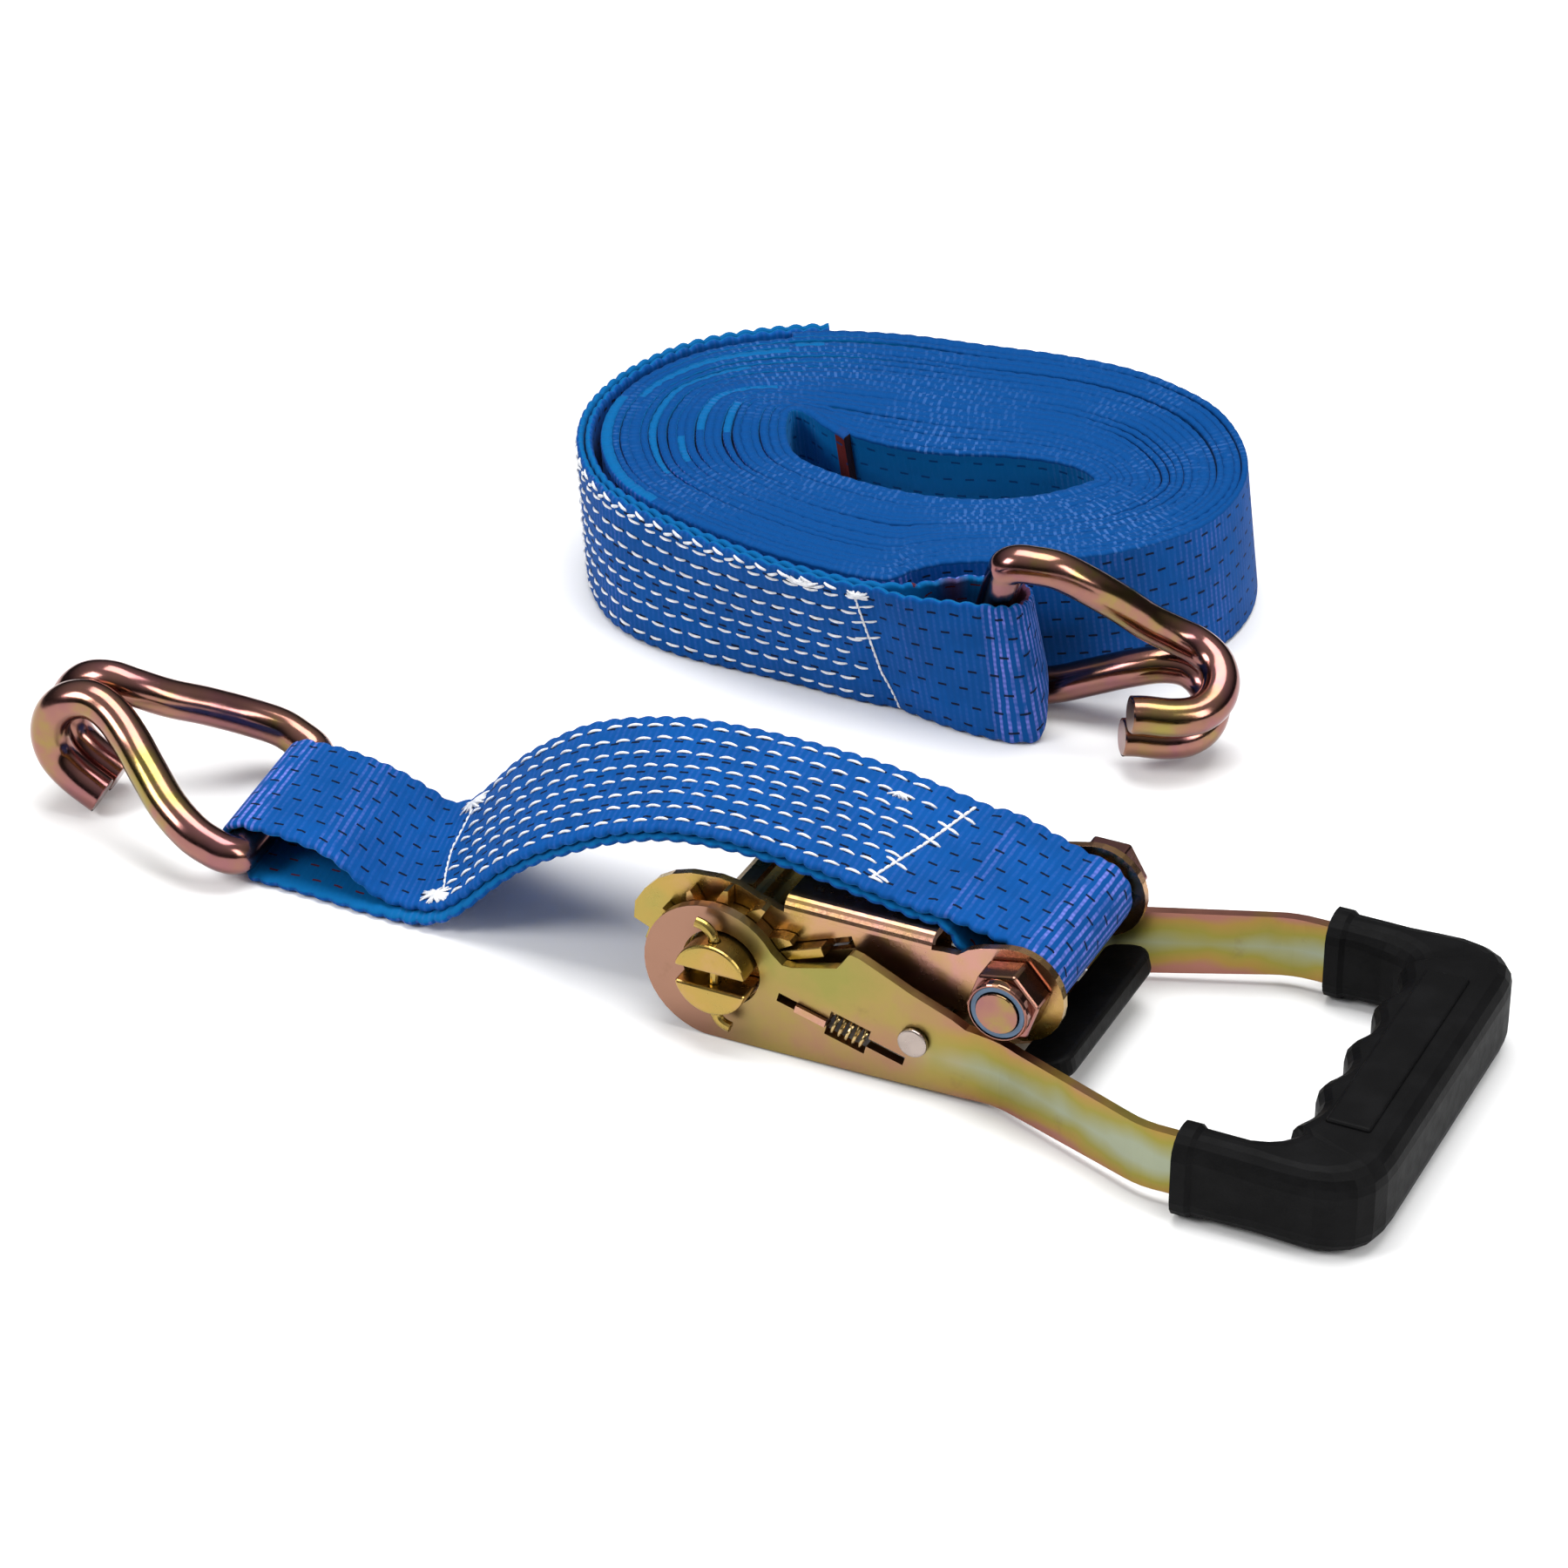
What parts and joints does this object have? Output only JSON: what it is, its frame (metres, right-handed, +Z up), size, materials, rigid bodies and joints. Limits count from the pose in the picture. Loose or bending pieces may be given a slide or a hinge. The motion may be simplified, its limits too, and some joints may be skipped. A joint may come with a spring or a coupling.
{
  "type": "ratchet tie down",
  "caption": "Ratchet tie down: toothed-mandrel ratchet with rubber D grip, hooked short strap, and the long blue strap rolled up with its double wire hook.",
  "frame": {"origin": "middle of the whole object's footprint, on the floor it lies on", "axes": "+X from the mandrel to the rubber grip, +Y from the ratchet to the rolled strap, +Z up"},
  "size_m": [0.4299, 0.3726, 0.0692],
  "materials": {
    "plated_steel": "pressed steel, yellow passivated zinc with a faint pink and green sheen",
    "plated_wire": "smooth bent wire, yellow passivated zinc, shinier than the plates",
    "spring_steel": "drawn spring wire",
    "blue_webbing": "woven polyester webbing, royal blue",
    "black_rubber": "matt moulded rubber",
    "blue_nylon": "nylon locking insert"
  },
  "bodies": {
    "frame": {"frame_channel": "plated_steel", "guide_strip": "plated_steel", "frame_bolt": "plated_steel", "lock_nut": "plated_steel", "nut_nylon_ring": "blue_nylon", "bolt_spacer": "plated_steel", "spring_seat": "plated_steel", "lock_pawl_spring": "spring_steel"},
    "mandrel": {"mandrel_half_upper": "plated_steel", "mandrel_half_lower": "plated_steel", "ratchet_wheel_near": "plated_steel", "ratchet_wheel_far": "plated_steel", "cotter_pin_near": "plated_steel", "cotter_pin_far": "plated_steel"},
    "lock_pawl": {"lock_pawl": "plated_steel"},
    "handle": {"handle_arm_near": "plated_steel", "handle_arm_far": "plated_steel", "handle_cross_rod": "plated_steel", "grip_core_rod": "plated_steel", "rubber_grip": "black_rubber", "drive_spring_near": "spring_steel", "drive_spring_far": "spring_steel"},
    "drive_pawl": {"drive_pawl_slider": "plated_steel", "finger_tab_cover": "black_rubber"},
    "short_strap": {"short_strap": "blue_webbing"},
    "short_hook": {"hook_short_strap": "plated_wire"},
    "rolled_strap": {"strap_roll": "blue_webbing", "strap_end_loop": "blue_webbing"},
    "long_hook": {"hook_long_strap": "plated_wire"}
  },
  "joints": [
    {"name": "mandrel_turn", "type": "hinge", "parent": "frame", "child": "mandrel", "pos_m": [0.0209, -0.1229, 0.0228], "axis": [0, 1, 0], "continuous": true},
    {"name": "lock_pawl_slide", "type": "slide", "parent": "frame", "child": "lock_pawl", "axis": [0.9336, 0, 0.3584], "range_m": [0, 0.0065], "stiffness_N_per_m": 600, "springref_m": -0.005, "deforming": ["lock_pawl_spring"]},
    {"name": "handle_swing", "type": "hinge", "parent": "frame", "child": "handle", "pos_m": [0.0209, -0.1229, 0.0228], "axis": [0, 1, 0], "range_deg": [0, 150]},
    {"name": "drive_pawl_pull", "type": "slide", "parent": "handle", "child": "drive_pawl", "axis": [0.9659, 0, -0.2588], "range_m": [0, 0.006], "stiffness_N_per_m": 500, "springref_m": -0.004, "deforming": ["drive_spring_near", "drive_spring_far"]},
    {"name": "short_strap_lift", "type": "hinge", "parent": "frame", "child": "short_strap", "pos_m": [0.1033, -0.1229, 0.0346], "axis": [0, 1, 0], "range_deg": [0, 120]},
    {"name": "short_hook_turn", "type": "hinge", "parent": "short_strap", "child": "short_hook", "pos_m": [-0.1406, -0.1199, 0.00875], "axis": [-0.1219, 0.9925, 0], "range_deg": [0, 90]},
    {"name": "rolled_strap_slide", "type": "slide", "parent": "frame", "child": "rolled_strap", "axis": [0, 1, 0], "range_m": [0, 0.15]},
    {"name": "long_hook_turn", "type": "hinge", "parent": "rolled_strap", "child": "long_hook", "pos_m": [0.0199, 0.0221, 0.0372], "axis": [0.3245, -0.3435, 0.8813], "range_deg": [-15, 15]}
  ]
}
